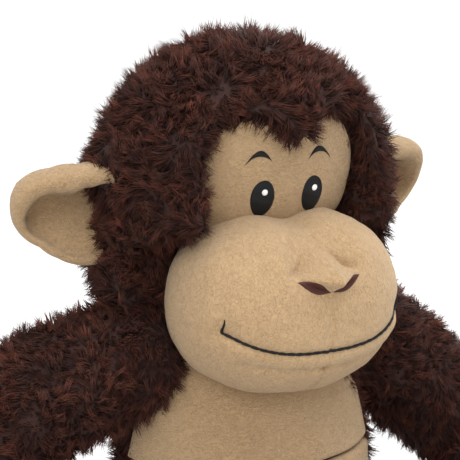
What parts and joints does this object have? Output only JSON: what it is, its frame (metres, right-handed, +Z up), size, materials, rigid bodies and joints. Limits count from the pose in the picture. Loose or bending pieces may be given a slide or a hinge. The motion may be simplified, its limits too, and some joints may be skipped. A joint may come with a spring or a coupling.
{
  "type": "stuffed monkey",
  "caption": "Sitting stuffed toy monkey in long brown fur with a short-pile tan face, ears, front, hands and feet, and limbs that swing at their seams.",
  "frame": {"origin": "middle of the flat seat, on the surface that the toy sits on", "axes": "+Z up the back, the toy faces -Y, and +X is to its own left"},
  "size_m": [0.3432, 0.3298, 0.295],
  "materials": {
    "fur": "matte",
    "plush": "matte",
    "black_thread": "satin",
    "brown_thread": "satin",
    "white_thread": "satin",
    "stuffing": "matte",
    "lining": "matte"
  },
  "bodies": {
    "torso": {"chest_panel": "plush", "belly_panel": "plush", "back_left": "fur", "back_right": "fur", "neck_cover": "fur", "seat_panel": "fur", "closing_seam": "brown_thread", "torso_stuffing": "stuffing", "care_label": "lining"},
    "neck": {"neck_stay": "lining"},
    "head": {"head_gusset": "fur", "head_side_left": "fur", "head_side_right": "fur", "face_panel": "plush", "muzzle_left": "plush", "muzzle_right": "plush", "nose": "plush", "nostril_left": "brown_thread", "nostril_right": "brown_thread", "eye_left": "black_thread", "eye_right": "black_thread", "eye_highlight_left": "white_thread", "eye_highlight_right": "white_thread", "brow_left": "black_thread", "brow_right": "black_thread", "mouth_stitch": "black_thread", "head_stuffing": "stuffing", "muzzle_stuffing": "stuffing"},
    "ear_left": {"ear_back_left": "plush", "ear_lining_left": "plush"},
    "ear_right": {"ear_back_right": "plush", "ear_lining_right": "plush"},
    "shoulder_left": {"shoulder_stay_left": "lining"},
    "arm_left": {"arm_fur_left": "fur", "arm_stuffing_left": "stuffing", "hand_palm_left": "plush", "hand_back_left": "plush", "thumb_left": "plush"},
    "shoulder_right": {"shoulder_stay_right": "lining"},
    "arm_right": {"arm_fur_right": "fur", "arm_stuffing_right": "stuffing", "hand_palm_right": "plush", "hand_back_right": "plush", "thumb_right": "plush"},
    "hip_left": {"hip_stay_left": "lining"},
    "leg_left": {"leg_fur_left": "fur", "leg_stuffing_left": "stuffing", "foot_sole_left": "plush", "foot_top_left": "plush"},
    "hip_right": {"hip_stay_right": "lining"},
    "leg_right": {"leg_fur_right": "fur", "leg_stuffing_right": "stuffing", "foot_sole_right": "plush", "foot_top_right": "plush"},
    "tail": {"tail_fur": "fur"}
  },
  "joints": [
    {"name": "neck_turn", "type": "hinge", "parent": "torso", "child": "neck", "pos_m": [0, -0.013, 0.15], "axis": [0, 0, 1], "range_deg": [-20, 20], "stiffness_Nm_per_rad": 0.6},
    {"name": "neck_nod", "type": "hinge", "parent": "neck", "child": "head", "pos_m": [0, -0.013, 0.15], "axis": [1, 0, 0], "range_deg": [-14, 4], "stiffness_Nm_per_rad": 1.2},
    {"name": "ear_fold_left", "type": "hinge", "parent": "head", "child": "ear_left", "pos_m": [0.05897, -0.001, 0.207], "axis": [0, 0, -1], "range_deg": [-28, 15], "stiffness_Nm_per_rad": 0.05},
    {"name": "ear_fold_right", "type": "hinge", "parent": "head", "child": "ear_right", "pos_m": [-0.05897, -0.001, 0.207], "axis": [0, 0, 1], "range_deg": [-28, 15], "stiffness_Nm_per_rad": 0.05},
    {"name": "arm_reach_left", "type": "hinge", "parent": "torso", "child": "shoulder_left", "pos_m": [0.062, 0, 0.136], "axis": [0, 0, -1], "range_deg": [-30, 30], "stiffness_Nm_per_rad": 0.3},
    {"name": "arm_drop_left", "type": "hinge", "parent": "shoulder_left", "child": "arm_left", "pos_m": [0.062, 0, 0.136], "axis": [0, 1, 0], "range_deg": [-25, 10], "stiffness_Nm_per_rad": 0.3},
    {"name": "arm_reach_right", "type": "hinge", "parent": "torso", "child": "shoulder_right", "pos_m": [-0.062, 0, 0.136], "axis": [0, 0, 1], "range_deg": [-30, 30], "stiffness_Nm_per_rad": 0.3},
    {"name": "arm_drop_right", "type": "hinge", "parent": "shoulder_right", "child": "arm_right", "pos_m": [-0.062, 0, 0.136], "axis": [0, -1, 0], "range_deg": [-12, 34], "stiffness_Nm_per_rad": 0.3},
    {"name": "leg_splay_left", "type": "hinge", "parent": "torso", "child": "hip_left", "pos_m": [0.038, -0.028, 0.029], "axis": [0, 0, 1], "range_deg": [-10, 20], "stiffness_Nm_per_rad": 0.3},
    {"name": "leg_swing_left", "type": "hinge", "parent": "hip_left", "child": "leg_left", "pos_m": [0.038, -0.028, 0.029], "axis": [0.9703, 0.2419, 0], "range_deg": [-4, 80], "stiffness_Nm_per_rad": 0.2},
    {"name": "leg_splay_right", "type": "hinge", "parent": "torso", "child": "hip_right", "pos_m": [-0.038, -0.028, 0.029], "axis": [0, 0, -1], "range_deg": [-10, 20], "stiffness_Nm_per_rad": 0.3},
    {"name": "leg_swing_right", "type": "hinge", "parent": "hip_right", "child": "leg_right", "pos_m": [-0.038, -0.028, 0.029], "axis": [0.9703, -0.2419, 0], "range_deg": [-4, 80], "stiffness_Nm_per_rad": 0.2},
    {"name": "tail_wag", "type": "hinge", "parent": "torso", "child": "tail", "pos_m": [0, 0.051, 0.019], "axis": [0, 0, 1], "range_deg": [-30, 30], "stiffness_Nm_per_rad": 0.03}
  ]
}
